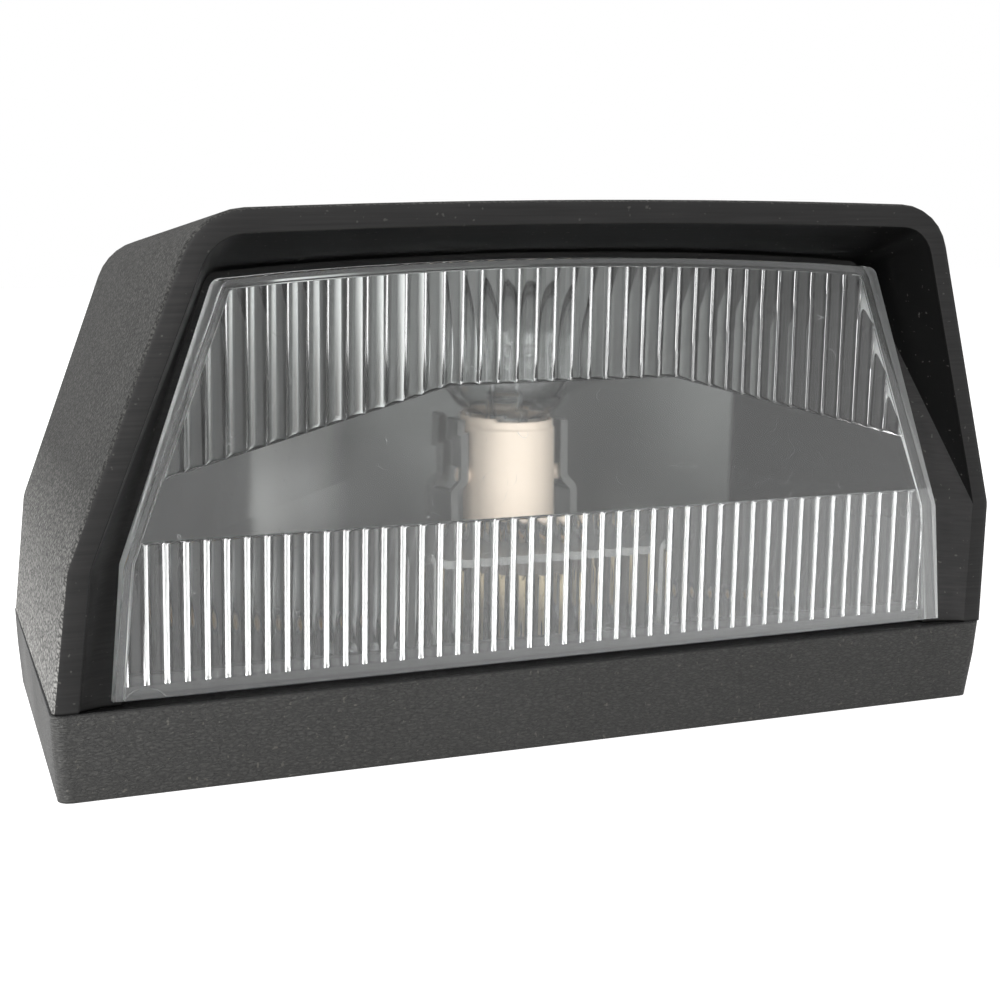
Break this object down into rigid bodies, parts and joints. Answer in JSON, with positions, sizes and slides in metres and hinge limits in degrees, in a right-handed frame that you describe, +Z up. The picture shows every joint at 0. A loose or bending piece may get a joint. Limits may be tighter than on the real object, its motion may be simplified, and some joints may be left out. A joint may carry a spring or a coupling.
{
  "type": "number plate lamp",
  "caption": "Number plate lamp for a vehicle: black moulded hood with a visor over a clear fluted lens, on a rubber base gasket, with a bayonet bulb and reflector inside.",
  "frame": {"origin": "middle of the lamp's box, on the mounting surface under the base gasket", "axes": "+X along the lamp's width, the longest side; the lens faces -Y and the plain rear wall +Y; +Z up from the mounting surface"},
  "size_m": [0.104, 0.0702, 0.0553],
  "materials": {
    "gasket_rubber": "fine leather grain, matte",
    "base_plastic": "fine spark-eroded matte",
    "insert_brass": "turned",
    "grommet_rubber": "smooth matte",
    "hood_plastic": "leather grain on the sides and roof, smooth on the front frame",
    "screw_steel": "zinc plated",
    "lens_clear": "clear moulded acrylic, fluted inside",
    "reflector_aluminium": "satin",
    "bracket_steel": "zinc plated sheet",
    "holder_tinned_steel": "dull tin plate",
    "disc_board": "laminated board",
    "contact_bronze": "rolled spring bronze",
    "terminal_brass": "stamped",
    "cap_brass": "bright drawn brass",
    "cap_black_glass": "black cap glass",
    "contact_solder": "dull solder",
    "bulb_clear_glass": "clear blown glass",
    "lead_wire": "drawn wire"
  },
  "bodies": {
    "root": {"base_gasket": "gasket_rubber", "base_plate": "base_plastic", "mount_inserts": "insert_brass", "cable_grommet": "grommet_rubber", "hood": "hood_plastic", "hood_screws": "screw_steel", "lens": "lens_clear", "lens_seal": "grommet_rubber", "reflector": "reflector_aluminium", "reflector_screws": "screw_steel", "lamp_bracket": "bracket_steel", "bracket_screws": "screw_steel", "bulb_holder": "holder_tinned_steel", "holder_rivets": "terminal_brass", "insulating_disc": "disc_board", "centre_contact": "contact_bronze", "live_terminal": "terminal_brass", "contact_rivet": "terminal_brass", "earth_terminal": "terminal_brass", "earth_rivet": "terminal_brass", "bulb_cap": "cap_brass", "bulb_insulator": "cap_black_glass", "bulb_contact": "contact_solder", "bulb_glass": "bulb_clear_glass", "bulb_stem": "bulb_clear_glass", "bulb_leads": "lead_wire", "filament": "lead_wire"}
  },
  "joints": []
}
